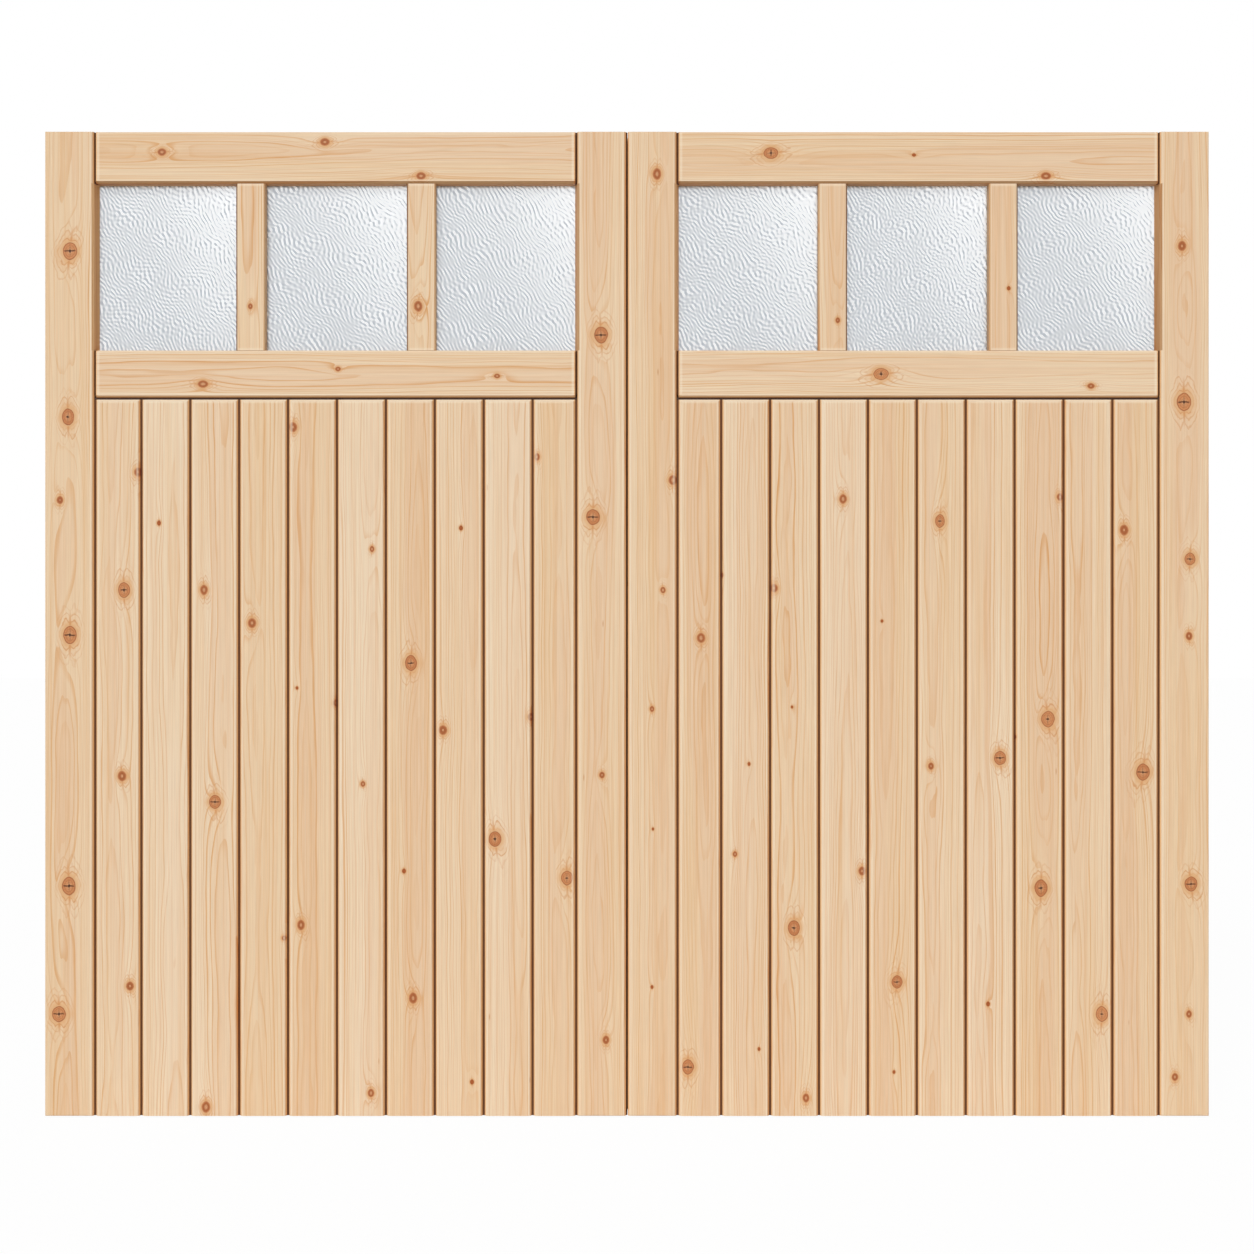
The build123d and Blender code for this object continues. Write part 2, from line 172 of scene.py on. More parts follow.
# Knots, as they were read off the photograph: across and down in its pixels, and the half
# width in millimetres.
KNOTS_IN_PHOTO = [
    (70, 251, 14.3), (68, 417, 12.5), (60, 500, 7), (70, 635, 13.8), (69, 886, 14), (59, 1014, 14),
    (162, 152, 8), (325, 142, 8), (421, 176, 8), (250, 306, 5), (418, 306, 9),
    (203, 384, 8), (338, 369, 5), (497, 376, 5),
    (138, 472, 8), (159, 523, 4), (124, 590, 12), (204, 590, 8), (252, 623, 9), (293, 427, 9),
    (372, 549, 5), (411, 663, 12), (461, 528, 4), (537, 457, 6), (297, 688, 3), (336, 703, 6),
    (443, 730, 9), (531, 717, 7), (122, 776, 9), (215, 802, 12), (363, 784, 5), (495, 839, 13),
    (404, 871, 4), (567, 878, 12), (301, 925, 8), (284, 938, 5), (130, 986, 8), (413, 998, 9),
    (472, 1082, 4), (371, 1093, 7), (206, 1107, 9),
    (601, 335, 14.1), (593, 517, 14), (602, 775, 6), (606, 1040, 7),
    (657, 174, 9), (673, 480, 9), (663, 590, 5.5), (652, 709, 5), (653, 829, 2.5), (652, 987, 3),
    (771, 153, 12), (914, 155, 3.5), (1046, 176, 8), (838, 320, 5), (1009, 288, 4),
    (881, 374, 11.9), (1091, 386, 6),
    (843, 499, 8), (940, 521, 10), (1060, 497, 7), (1124, 530, 9), (701, 638, 9), (774, 588, 8),
    (722, 575, 4), (882, 621, 3), (792, 707, 2.5), (749, 764, 3), (735, 854, 5), (931, 766, 6),
    (1000, 758, 12), (1015, 737, 4), (1048, 719, 13.5), (1143, 772, 13.8), (862, 871, 8),
    (794, 928, 11.9), (1041, 888, 13), (897, 982, 11), (988, 1004, 4), (1102, 1014, 12),
    (688, 1067, 12), (806, 1098, 7), (894, 1072, 3), (759, 1049, 3),
    (1182, 246, 9), (1184, 402, 14.7), (1190, 559, 11), (1189, 636, 7), (1191, 884, 13),
    (1189, 1014, 6), (1175, 1077, 7),
]


class Graph:
    """Short calls that add a node to a tree, feed its inputs and give its output."""

    def __init__(self, tree):
        self.tree = tree

    def add(self, kind, **settings):
        node = self.tree.nodes.new(kind)
        for name, value in settings.items():
            setattr(node, name, value)
        return node

    def feed(self, socket, value):
        if isinstance(value, bpy.types.NodeSocket):
            self.tree.links.new(value, socket)
        else:
            socket.default_value = value

    def math(self, operation, *values, clamp=False):
        node = self.add("ShaderNodeMath", operation=operation, use_clamp=clamp)
        for socket, value in zip(node.inputs, values):
            self.feed(socket, value)
        return node.outputs[0]

    def plus(self, *values):
        total = values[0]
        for value in values[1:]:
            total = self.math("ADD", total, value)
        return total

    def times(self, *values):
        product = values[0]
        for value in values[1:]:
            product = self.math("MULTIPLY", product, value)
        return product

    def minus(self, first, second):
        return self.math("SUBTRACT", first, second)

    def size(self, value):
        return self.math("ABSOLUTE", value)

    def most(self, first, second):
        return self.math("MAXIMUM", first, second)

    def rise(self, value, low, high):
        """0 below low and 1 above high, with a smooth step between them."""
        node = self.add("ShaderNodeMapRange", interpolation_type="SMOOTHSTEP")
        self.feed(node.inputs["Value"], value)
        self.feed(node.inputs["From Min"], low)
        self.feed(node.inputs["From Max"], high)
        return node.outputs[0]

    def fall(self, value, low, high):
        return self.minus(1.0, self.rise(value, low, high))

    def ramp(self, value, low, high):
        """A saw tooth that climbs from low to high and drops at once, for growth lines."""
        return self.times(self.rise(value, low, high), self.fall(value, high + 0.02, 1.0))

    def spread(self, value, low, high):
        """A noise of about 0.3 to 0.7 stretched to run from low to high."""
        node = self.add("ShaderNodeMapRange")
        self.feed(node.inputs["Value"], value)
        node.inputs["From Min"].default_value = 0.3
        node.inputs["From Max"].default_value = 0.7
        node.inputs["To Min"].default_value = low
        node.inputs["To Max"].default_value = high
        return node.outputs[0]

    def point(self, x, y, z):
        node = self.add("ShaderNodeCombineXYZ")
        for socket, value in zip(node.inputs, (x, y, z)):
            self.feed(socket, value)
        return node.outputs[0]

    def parts(self, vector):
        node = self.add("ShaderNodeSeparateXYZ")
        self.feed(node.inputs[0], vector)
        return node.outputs

    def noise(self, x, y, z, detail=2.0):
        node = self.add("ShaderNodeTexNoise")
        self.feed(node.inputs["Vector"], self.point(x, y, z))
        node.inputs["Scale"].default_value = 1.0
        node.inputs["Detail"].default_value = detail
        return node.outputs["Fac"]

    def mix(self, share, first, second, blend="MIX"):
        node = self.add("ShaderNodeMix", data_type="RGBA", blend_type=blend)
        self.feed(node.inputs[0], share)
        self.feed(node.inputs[6], first)
        self.feed(node.inputs[7], second)
        return node.outputs[2]

    def group(self, tree, values):
        node = self.add("ShaderNodeGroup", node_tree=tree)
        for socket, value in values.items():
            self.feed(node.inputs[socket], value)
        return node.outputs


def new_group(name, inputs, outputs):
    """An empty node group as its Graph, its inputs by name and the node for its outputs."""
    tree = bpy.data.node_groups.new(name, "ShaderNodeTree")
    for socket in inputs:
        tree.interface.new_socket(socket, in_out="INPUT", socket_type="NodeSocketFloat")
    for socket, kind in outputs.items():
        tree.interface.new_socket(socket, in_out="OUTPUT", socket_type=kind)
    graph = Graph(tree)
    given = graph.add("NodeGroupInput")
    result = graph.add("NodeGroupOutput")
    return graph, {name: given.outputs[name] for name in inputs}, result


NO_KNOT = {"Shift": 0.0, "Distance": 20.0, "Lines": 0.0, "Fill": 0.0, "Check": 0.0, "Size": 0.0,
           "Tint": 0.0}
KNOT_STATE = tuple(NO_KNOT)


def make_knot_group():
    """One knot, added to those before it.

    Shift bends the growth rings round it, Distance is 1 at its rim, Lines are the loops and
    ears that the rings make round it, Fill is the darker wood in them, Check its drying
    cracks, Size its half width and Tint how dark it is.
    """
    inputs = ["Across", "Along", "Rough", "Knot Across", "Knot Along", "Half Width",
              "Half Height", "Checked", "Lean", "Own Tint", *KNOT_STATE]
    g, given, result = new_group("knot", inputs, {name: "NodeSocketFloat" for name in KNOT_STATE})
    wide, high, rough = given["Half Width"], given["Half Height"], given["Rough"]
    across = g.minus(given["Across"], given["Knot Across"])
    along = g.minus(given["Along"], given["Knot Along"])
    x = g.math("DIVIDE", across, wide)
    z = g.math("DIVIDE", along, high)
    side, end = g.size(x), g.size(z)

    egg = g.math("POWER", g.plus(g.math("POWER", side, 1.7), g.times(end, end)), 0.54)
    distance = g.plus(egg, g.times(rough, 0.25))
    closer = g.math("LESS_THAN", distance, given["Distance"])
    g.feed(result.inputs["Distance"], g.math("MINIMUM", given["Distance"], distance))
    for name, own in (("Size", wide), ("Tint", given["Own Tint"])):
        kept = g.times(g.minus(1.0, closer), given[name])
        g.feed(result.inputs[name], g.plus(kept, g.times(closer, own)))

    # The rings swell round the knot
    bend_x = g.math("DIVIDE", across, g.plus(g.times(wide, 1.3), 0.004))
    bend_z = g.math("DIVIDE", g.size(along), g.plus(g.times(high, 3.0), 0.020))
    fall_off = g.plus(g.times(bend_x, bend_x), g.math("POWER", bend_z, 1.2))
    bend = g.math("EXPONENT", g.times(fall_off, -1.0))
    lift = g.plus(g.times(wide, 1.1), 0.001)
    g.feed(result.inputs["Shift"], g.plus(given["Shift"], g.times(bend, lift)))

    # Loops round it that rise to two ears and dip to the knot between them, above and below
    aside = g.size(g.minus(x, g.times(z, given["Lean"])))
    broad = g.times(aside, 0.57)
    tall = g.math("DIVIDE", end, g.plus(g.times(end, 0.40), 1.26))
    reach = g.math("SQRT", g.plus(g.times(broad, broad), g.times(tall, tall)))
    past_end = g.rise(end, 0.8, 1.2)
    dip = g.times(g.most(g.minus(1.0, g.times(aside, 1.8)), 0.0), past_end)
    field = g.plus(reach, g.times(dip, 0.20), g.times(rough, 0.34), g.times(x, given["Lean"], 0.45))
    loop = g.plus(g.times(field, 4.6), g.times(wide, 700.0))
    phase = g.math("FRACT", loop)
    each = g.add("ShaderNodeTexWhiteNoise", noise_dimensions="1D")
    g.feed(each.inputs["W"], g.math("FLOOR", loop))
    band = g.times(g.rise(field, 0.66, 0.74), g.fall(field, 0.92, 1.55))
    band = g.times(band, g.plus(0.25, g.times(each.outputs["Value"], 0.75)))
    grown = g.rise(wide, 0.002, 0.008)
    loops = g.times(g.ramp(phase, 0.55, 0.90), band, g.plus(0.55, g.times(past_end, 0.45)), grown)
    stalk = g.times(g.fall(aside, 0.05, 0.22), g.rise(end, 1.02, 1.12), g.fall(end, 1.5, 3.0), 0.75)
    g.feed(result.inputs["Lines"], g.most(given["Lines"], g.most(loops, stalk)))
    blob = g.times(g.fall(aside, 0.18, 0.48), g.rise(end, 1.02, 1.16), g.fall(end, 1.35, 1.75))
    ears = g.times(g.fall(field, 0.88, 1.15), past_end, 0.6)
    g.feed(result.inputs["Fill"], g.most(given["Fill"], g.times(g.most(blob, ears), grown)))

    checked = given["Checked"]
    ragged = g.times(rough, 0.3)
    part_way = g.times(g.fall(g.math("DIVIDE", side, checked), 0.65, 0.95),
                       g.fall(x, g.minus(checked, 0.5), g.plus(checked, 0.1)))
    level = g.times(g.fall(g.size(g.plus(z, ragged)), 0.03, 0.12), part_way)
    upright = g.times(g.fall(g.size(g.plus(x, ragged)), 0.02, 0.10), g.fall(end, 0.3, 0.8))
    split = g.times(g.most(level, g.times(upright, 0.5)), g.rise(checked, 0.0, 0.3))
    g.feed(result.inputs["Check"], g.most(given["Check"], split))
    return g.tree


def make_pine_group():
    """Planed pine in a timber's own directions, round a pith that wanders along it."""
    inputs = ["Across", "Along", "Deep", "Pith Across", "Pith Deep", "Seed", "Warmth",
              "End Grain", *KNOT_STATE]
    outputs = {"Color": "NodeSocketColor", "Roughness": "NodeSocketFloat",
               "Height": "NodeSocketFloat"}
    g, given, result = new_group("pine", inputs, outputs)
    across, along, deep, seed = (given[name] for name in ("Across", "Along", "Deep", "Seed"))

    # Growth rings
    drift = g.times(along, 1.1)
    wander_across = g.times(g.minus(g.noise(seed, drift, 3.0), 0.5), RING_WANDER * 0.7)
    wander_deep = g.times(g.minus(g.noise(seed, drift, 9.0), 0.5), RING_WANDER)
    from_pith = g.minus(g.minus(across, given["Pith Across"]), wander_across)
    below_pith = g.minus(g.minus(deep, given["Pith Deep"]), wander_deep)
    square = g.plus(g.times(from_pith, from_pith), g.times(below_pith, below_pith))
    wave = g.noise(g.plus(g.times(across, 38), seed), g.times(along, 5), g.times(deep, 38))
    bent = g.plus(g.math("SQRT", square), g.times(g.minus(wave, 0.5), 0.006), given["Shift"])
    uneven = g.noise(g.times(bent, 60), seed, 5.0)
    count = g.plus(g.math("DIVIDE", bent, RING_SPACING), g.times(g.minus(uneven, 0.5), 5.0))
    late = g.ramp(g.math("FRACT", count), 0.60, 0.95)
    each = g.add("ShaderNodeTexWhiteNoise", noise_dimensions="1D")
    g.feed(each.inputs["W"], g.plus(g.math("FLOOR", count), seed))
    chance = each.outputs["Value"]
    faint = g.noise(g.plus(g.times(across, 9), seed), g.times(along, 1.7), 1.0)
    strength = g.times(g.plus(0.32, g.times(chance, chance, 0.68)), g.spread(faint, 0.45, 1.0))
    steep = g.math("DIVIDE", g.size(from_pith), g.math("SQRT", square))
    strength = g.times(strength, g.plus(0.5, g.times(g.rise(steep, 0.0, 0.45), 0.5)))

    # Ground colour, heartwood and the dark of the late wood
    tone = g.noise(g.plus(g.times(across, 13), seed), g.times(along, 0.9), g.times(deep, 13))
    ground = g.mix(g.math("ADD", g.spread(tone, -0.25, 0.35), given["Warmth"], clamp=True), CREAM, HONEY)
    heart_edge = g.plus(bent, g.times(g.minus(tone, 0.5), 0.05))
    heart = g.times(g.fall(heart_edge, 0.034, 0.044), g.plus(0.25, g.times(given["Warmth"], 0.35)))
    wood = g.mix(heart, ground, ROSE)
    broad = g.noise(g.plus(g.times(across, 42), seed), g.times(along, 0.7), g.times(deep, 42))
    wood = g.mix(g.spread(broad, -0.35, 0.35), wood, GLOW)
    wood = g.mix(g.times(late, strength), wood, AMBER)

    # Fibres, long streaks and resin flecks
    streak = g.noise(g.plus(g.times(across, 150), seed), g.times(along, 1.3), g.times(deep, 150))
    wood = g.mix(g.spread(streak, -0.14, 0.20), wood, AMBER)
    thread = g.noise(g.plus(g.times(across, 420), seed), g.times(along, 1.6), g.times(deep, 420), 1.0)
    wood = g.mix(g.spread(thread, -0.12, 0.20), wood, AMBER)
    fibre = g.noise(g.plus(g.times(across, 760), seed), g.times(along, 11), g.times(deep, 760), 1.0)
    wood = g.mix(1.0, wood, g.spread(fibre, 0.95, 1.035), "MULTIPLY")
    cells = g.add("ShaderNodeTexVoronoi")
    g.feed(cells.inputs["Vector"], g.point(g.plus(g.times(across, 26), seed), g.times(along, 5), seed))
    cells.inputs["Scale"].default_value = 1.0
    pick = g.parts(cells.outputs["Color"])
    fleck = g.times(g.fall(cells.outputs["Distance"], 0.01, 0.05), g.rise(pick[0], 0.72, 0.74))
    wood = g.mix(g.times(fleck, 0.55), wood, FLECK)

    # Knots: a dark ring round a pale heart while they are small, and wood of their own later
    distance, knot_size = given["Distance"], given["Size"]
    large = g.rise(knot_size, 0.0092, 0.0102)
    tiny = g.fall(knot_size, 0.0042, 0.0050)
    wood = g.mix(g.times(g.fall(distance, 1.05, 1.90), 0.76), wood, KNOT_NEAR)
    wood = g.mix(g.times(given["Fill"], 0.45), wood, KNOT_HALO)
    wood = g.mix(g.times(given["Lines"], 0.80), wood, KNOT_LINE)
    grown = g.math("FRACT", g.plus(g.times(distance, 3.4), g.times(wave, 1.2)))
    body = g.mix(g.times(g.ramp(grown, 0.30, 0.88), 0.5), KNOT_BODY, KNOT_RING)
    body = g.mix(g.times(g.fall(distance, 0.20, 0.50), 0.45), body, KNOT_HEART)
    body = g.mix(g.times(given["Tint"], g.rise(distance, 0.30, 0.75), 0.55), body, KNOT_RING)
    body = g.mix(g.times(g.fall(distance, 0.09, 0.22), 0.90), body, KNOT_CHECK)
    body = g.mix(g.times(g.rise(distance, 0.82, 0.97), 0.75), body, KNOT_RIM)
    pale = g.fall(distance, 0.12, g.plus(0.26, g.times(given["Tint"], 0.34)))
    ring = g.mix(g.times(pale, 0.75), g.mix(0.5, KNOT_RIM, KNOT_RING), KNOT_HEART)
    ring = g.mix(g.times(g.rise(distance, 0.68, 0.92), 0.8), ring, KNOT_BODY)
    core = g.mix(large, g.mix(tiny, ring, KNOT_DOT), body)
    mottle = g.noise(g.plus(g.times(across, 420), seed), g.times(along, 420), g.times(deep, 420))
    core = g.mix(1.0, core, g.spread(mottle, 0.84, 1.12), "MULTIPLY")
    inside = g.fall(distance, 0.94, 1.05)
    wood = g.mix(inside, wood, core)
    wood = g.mix(g.times(given["Check"], 0.85), wood, KNOT_CHECK)

    # Ends drink in dirt and look darker
    wood = g.mix(given["End Grain"], wood, srgb(222, 200, 172), "MULTIPLY")

    g.feed(result.inputs["Color"], wood)
    g.feed(result.inputs["Roughness"], g.minus(g.plus(0.52, g.times(late, 0.08)), g.times(inside, 0.12)))
    ridges = g.plus(g.times(late, strength, 0.35), g.times(fibre, 0.5))
    g.feed(result.inputs["Height"], g.minus(ridges, g.times(given["Check"], 0.5)))
    return g.tree


KNOT_GROUP = make_knot_group()
PINE_GROUP = make_pine_group()
UPRIGHT = math.pi / 2
LEVEL = 0.0


def leaf_nodes(side):
    """The timbers of a leaf that show at its front: the framing first and then the boards."""
    names = ["hanging_stile", "meeting_stile", "top_rail", "middle_rail"]
    names += ["glazing_bar_1", "glazing_bar_2"]
    names += [f"board_{number:02d}" for number in range(1, BOARD_COUNT + 1)]
    return [f"{side}_{name}" for name in names]


def share_out_knots():
    """Gives every knot of the photograph to the timber that it lies on, as (x, z, half width)."""
    shares = {node: [] for side in SIDES for node in leaf_nodes(side)}
    boxes = {node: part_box(node) for node in shares}
    for column, row, half_width in KNOTS_IN_PHOTO:
        x = LEFT_EDGE + (column - PHOTO_DOOR_LEFT) * PHOTO_SCALE
        z = BOTTOM + (PHOTO_DOOR_BOTTOM - row) * PHOTO_SCALE
        found = [node for node, (low, high) in boxes.items()
                 if low.x < x < high.x and low.z < z < high.z]
        framing = [node for node in found if "board" not in node]
        if framing:
            owner = framing[0]
        else:
            owner = min(found, key=lambda node: abs(x - (boxes[node][0].x + boxes[node][1].x) / 2))
        shares[owner].append((x, z, half_width / 1000))
    return shares


KNOTS = share_out_knots()


def random_knots(low, high, chance, count):
    """A few knots for a timber that the photograph does not show, spread along its diagonal."""
    found = []
    for number in range(count):
        share = (number + chance.uniform(0.2, 0.8)) / count
        x = low.x + (high.x - low.x) * share
        z = low.z + (high.z - low.z) * share
        found.append((x, z, chance.uniform(0.004, 0.011)))
    return found


def zone_shading(g, colour, spot, normal, deep, zones):
    """Paints shade into joints, reveals and undersides, and highlight onto board tops and worn arrises.

    A zone is (direction, limit, kind, low, high): the side it lies on, where the timber ends
    there, its kind, and the heights that it spans. A "joint" has a painted dark gap beside it, an
    "edge" has none, a "reveal" leads back to glass and a "rim" does so with a smaller chamfer.
    Rims that face away from the middle of the pair take the darker painted shadow line.
    """
    # Faces turned from the lamp, facing down or facing the lamp, for painted shade
    away = g.minus(g.times(normal[0], 0.75), g.times(normal[2], 0.66))
    shaded = g.rise(away, 0.2, 0.5)
    under = g.fall(normal[2], -0.6, -0.3)
    lit = g.fall(normal[0], -0.6, -0.3)
    signs = {"left": (-1, spot[0]), "right": (1, spot[0]), "down": (-1, spot[2]), "up": (1, spot[2])}
    painted_gap_shade, level, painted_crown_highlight, shade, painted_warm_shade, reveal_chamfer_shade, rim, far_rim_shadow, reveal, worn_and_highlight = (0.0,) * 10
    for direction, limit, kind, low, high in zones:
        sign, axis = signs[direction]
        past = g.times(g.minus(axis, limit), sign)
        above = g.rise(spot[2], low - 0.001, low + 0.001)
        span = g.times(above, g.fall(spot[2], high - 0.001, high + 0.001))
        width = RIM if kind == "rim" else CHAMFER
        slope = g.times(g.rise(past, -width - 0.0006, -width + 0.0006), span)
        # Painted shade on chamfers beside joints, and painted warm shade deep on their lit side
        if kind in ("joint", "edge"):
            shade = g.most(shade, g.times(g.rise(past, -width - 0.0010, -0.0004), span))
            if direction != "up":
                painted_warm_shade = g.most(painted_warm_shade, g.times(g.rise(past, -0.0040, -0.0010), span))
        # Painted shade in reveals and on their chamfers
        else:
            reveal = g.most(reveal, g.times(g.rise(past, -0.0012, -0.0002), span))
        if kind == "reveal":
            reveal_chamfer_shade = g.most(reveal_chamfer_shade, slope)
        # Painted shadow lines along the bars' chamfers, darker on the side turned from the middle
        if kind == "rim" and direction in ("left", "right"):
            line = g.times(g.rise(past, -width - 0.0022, -width + 0.0004), span)
            if (direction == "left") == (limit < PAIR_MIDDLE):
                far_rim_shadow = g.most(far_rim_shadow, line)
            else:
                rim = g.most(rim, line)
        # Painted shade in the joint's gap, deeper in level joints, and a painted highlight on board tops
        if kind == "joint":
            lip = 0.0004 if direction == "up" else 0.0016
            gap = g.times(g.rise(past, -lip, 0.0012 - lip), span)
            painted_gap_shade = g.most(painted_gap_shade, gap)
            if direction in ("up", "down"):
                level = g.most(level, gap)
            if direction == "up":
                painted_crown_highlight = g.most(painted_crown_highlight, g.times(g.rise(past, -0.0042, -0.0026), span))
        # Arrises paler from wear, with a painted highlight on them
        worn_and_highlight = g.most(worn_and_highlight, g.times(g.rise(past, -width - 0.005, -width), span))

    # Painted shade on chamfers turned from the lamp, near the front only
    shade = g.times(shade, shaded, g.fall(deep, 0.006, 0.009))
    chamfer_and_rim_shade = g.most(reveal_chamfer_shade, g.most(rim, far_rim_shadow))
    # Paler worn arrises with a painted highlight, and a painted highlight on board tops
    worn_and_highlight = g.times(worn_and_highlight, g.minus(1.0, g.most(shade, chamfer_and_rim_shade)), g.fall(deep, 0.0028, 0.0042))
    colour = g.mix(g.times(worn_and_highlight, 0.46), colour, WORN_EDGE_AND_HIGHLIGHT)
    colour = g.mix(g.times(painted_crown_highlight, 0.6), colour, WORN_EDGE_AND_HIGHLIGHT)
    # Painted warm shade on the lit side of joints
    painted_warm_shade = g.times(painted_warm_shade, g.minus(1.0, shaded), g.fall(deep, 0.014, 0.018))
    colour = g.mix(painted_warm_shade, colour, WARM_SHADE_TINT, "MULTIPLY")
    colour = g.mix(shade, colour, SHADE_TINT, "MULTIPLY")
    # Painted shade on reveal chamfers, bar rims, in reveals, on lit jambs and on undersides
    colour = g.mix(reveal_chamfer_shade, colour, REVEAL_CHAMFER_SHADE_TINT, "MULTIPLY")
    colour = g.mix(rim, colour, RIM_SHADE_TINT, "MULTIPLY")
    colour = g.mix(far_rim_shadow, colour, FAR_RIM_SHADOW_TINT, "MULTIPLY")
    reveal = g.times(reveal, g.rise(deep, 0.003, 0.006), g.fall(deep, REVEAL_DEPTH, REVEAL_DEPTH + 0.001))
    colour = g.mix(g.times(reveal, g.minus(1.0, g.most(rim, far_rim_shadow))), colour, REVEAL_SHADE_TINT, "MULTIPLY")
    colour = g.mix(g.times(g.most(reveal_chamfer_shade, reveal), lit), colour, LIT_JAMB_SHADE_TINT, "MULTIPLY")
    colour = g.mix(g.times(g.most(shade, reveal_chamfer_shade), under), colour, UNDERSIDE_SHADE_TINT, "MULTIPLY")
    # Painted shade in the open gaps, darkest in level joints
    inside = g.times(g.rise(deep, 0.0036, 0.0050), g.fall(deep, 0.012, 0.0175))
    colour = g.mix(g.times(painted_gap_shade, inside, 0.92), colour, PAINTED_JOINT_SHADE)
    return g.mix(g.times(level, inside, 0.65), colour, PAINTED_LEVEL_JOINT_SHADE)


def crack_share(half_width, chance):
    """How far over a knot its drying crack runs: right across when it is large."""
    if half_width < 0.010:
        return 0.0
    if half_width >= 0.0138:
        return 1.0
    return chance.choice([0.35, 0.50, 0.70, 0.95])


def pine_material(name, low, high, lean, seed, warmth, knots=(), zones=()):
    """Pine for one timber whose grain leans by that angle from level."""
    material = bpy.data.materials.new(name)
    material.use_nodes = True
    g = Graph(material.node_tree)
    shader = material.node_tree.nodes["Principled BSDF"]
    middle = (low + high) / 2
    cosine, sine = math.cos(lean), math.sin(lean)
    chance = np.random.default_rng(seed)

    place = g.add("ShaderNodeTexCoord")
    spot = g.parts(place.outputs["Object"])
    normal = g.parts(place.outputs["Normal"])
    x = g.minus(spot[0], middle.x)
    z = g.minus(spot[2], middle.z)
    deep = g.minus(spot[1], FRONT)
    along = g.plus(g.times(x, cosine), g.times(z, sine))
    across = g.minus(g.times(x, sine), g.times(z, cosine))
    end_on = g.plus(g.times(normal[0], cosine), g.times(normal[2], sine))
    end_grain = g.rise(g.size(end_on), 0.75, 0.95)

    state = dict(NO_KNOT)
    if knots:
        rough = g.minus(g.noise(g.times(across, 70), g.times(along, 50), float(seed)), 0.5)
    for knot_x, knot_z, half_width in knots:
        from_x, from_z = knot_x - middle.x, knot_z - middle.z
        values = {
            "Across": across,
            "Along": along,
            "Rough": rough,
            "Knot Across": from_x * sine - from_z * cosine,
            "Knot Along": from_x * cosine + from_z * sine,
            "Half Width": half_width,
            "Half Height": half_width * chance.uniform(1.15, 1.40),
            "Checked": crack_share(half_width, chance),
            "Lean": chance.uniform(-0.16, 0.16),
            "Own Tint": chance.uniform(0.0, 1.0),
        }
        outputs = g.group(KNOT_GROUP, {**values, **state})
        state = {key: outputs[key] for key in KNOT_STATE}

    values = {
        "Across": across,
        "Along": along,
        "Deep": deep,
        "Pith Across": chance.uniform(-0.020, 0.020),
        "Pith Deep": chance.choice([-1, 1]) * chance.uniform(0.024, 0.040),
        "Seed": float(seed) * 7.31,
        "Warmth": warmth,
        "End Grain": end_grain,
    }
    pine = g.group(PINE_GROUP, {**values, **state})
    colour = pine["Color"]
    # Painted shade in joints and reveals and painted highlights on arrises
    if zones:
        colour = zone_shading(g, colour, spot, normal, deep, zones)

    g.feed(shader.inputs["Base Color"], colour)
    g.feed(shader.inputs["Roughness"], pine["Roughness"])
    bump = g.add("ShaderNodeBump")
    bump.inputs["Strength"].default_value = 0.3
    bump.inputs["Distance"].default_value = 0.0005
    g.feed(bump.inputs["Height"], pine["Height"])
    g.feed(shader.inputs["Normal"], bump.outputs["Normal"])
    shader.inputs["Specular IOR Level"].default_value = 0.25
    return material


def dress(node, *materials):
    """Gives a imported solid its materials."""
    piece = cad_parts[node]
    piece.data.materials.clear()
    for material in materials:
        piece.data.materials.append(material)
    return piece


seeds = iter(range(1, 200))


def dress_timber(node, lean, warmth, zones=(), hidden_knots=0):
    low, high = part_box(node)
    seed = next(seeds)
    knots = KNOTS.get(node, [])
    if hidden_knots:
        knots = random_knots(low, high, np.random.default_rng(seed + 500), hidden_knots)
    dress(node, pine_material(f"pine_{node}", low, high, lean, seed, warmth, knots, zones))


def panel_edges(side):
    """Left and right of the opening between a leaf's stiles, which its brace fills."""
    low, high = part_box(f"{side}_brace")
    return {"left": low.x, "right": high.x}


def dress_stiles(side):
    panel = panel_edges(side)
    for name, warmth in (("hanging_stile", 0.85), ("meeting_stile", 0.70)):
        node = f"{side}_{name}"
        low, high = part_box(node)
        panel_on_right = (side == "left") == (name == "hanging_stile")
        inner, outer = ("right", "left") if panel_on_right else ("left", "right")
        inner_limit = panel[outer]
        outer_limit = low.x if panel_on_right else high.x
        zones = [
            (inner, inner_limit, "joint", low.z - 1, GLAZING_BOTTOM),
            (inner, inner_limit, "joint", GLAZING_TOP, high.z + 1),
            (inner, inner_limit, "reveal", GLAZING_BOTTOM, GLAZING_TOP),
        ]
        if name == "meeting_stile":
            zones.append((outer, outer_limit, "edge", low.z - 1, high.z + 1))
        dress_timber(node, UPRIGHT, warmth, zones)


def dress_rails(side):
    panel = panel_edges(side)
    always = (BOTTOM - 1, GLAZING_TOP + 1)
    ends = [("left", panel["left"] + JOINT_GAP, "joint", *always),
            ("right", panel["right"] - JOINT_GAP, "joint", *always)]
    under_top = [("down", GLAZING_TOP, "reveal", *always)]
    round_middle = [("up", GLAZING_BOTTOM, "rim", *always), ("down", PANEL_TOP, "joint", *always)]
    dress_timber(f"{side}_top_rail", LEVEL, 0.60, ends + under_top)
    dress_timber(f"{side}_middle_rail", LEVEL, 0.50, ends + round_middle)
    dress_timber(f"{side}_bottom_rail", LEVEL, 0.5, hidden_knots=3)
    for number in (1, 2):
        node = f"{side}_glazing_bar_{number}"
        low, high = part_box(node)
        sides = [("left", low.x, "rim", *always), ("right", high.x, "rim", *always),
                 ("up", GLAZING_TOP, "rim", *always), ("down", GLAZING_BOTTOM, "rim", *always)]
        dress_timber(node, UPRIGHT, 0.75, sides)


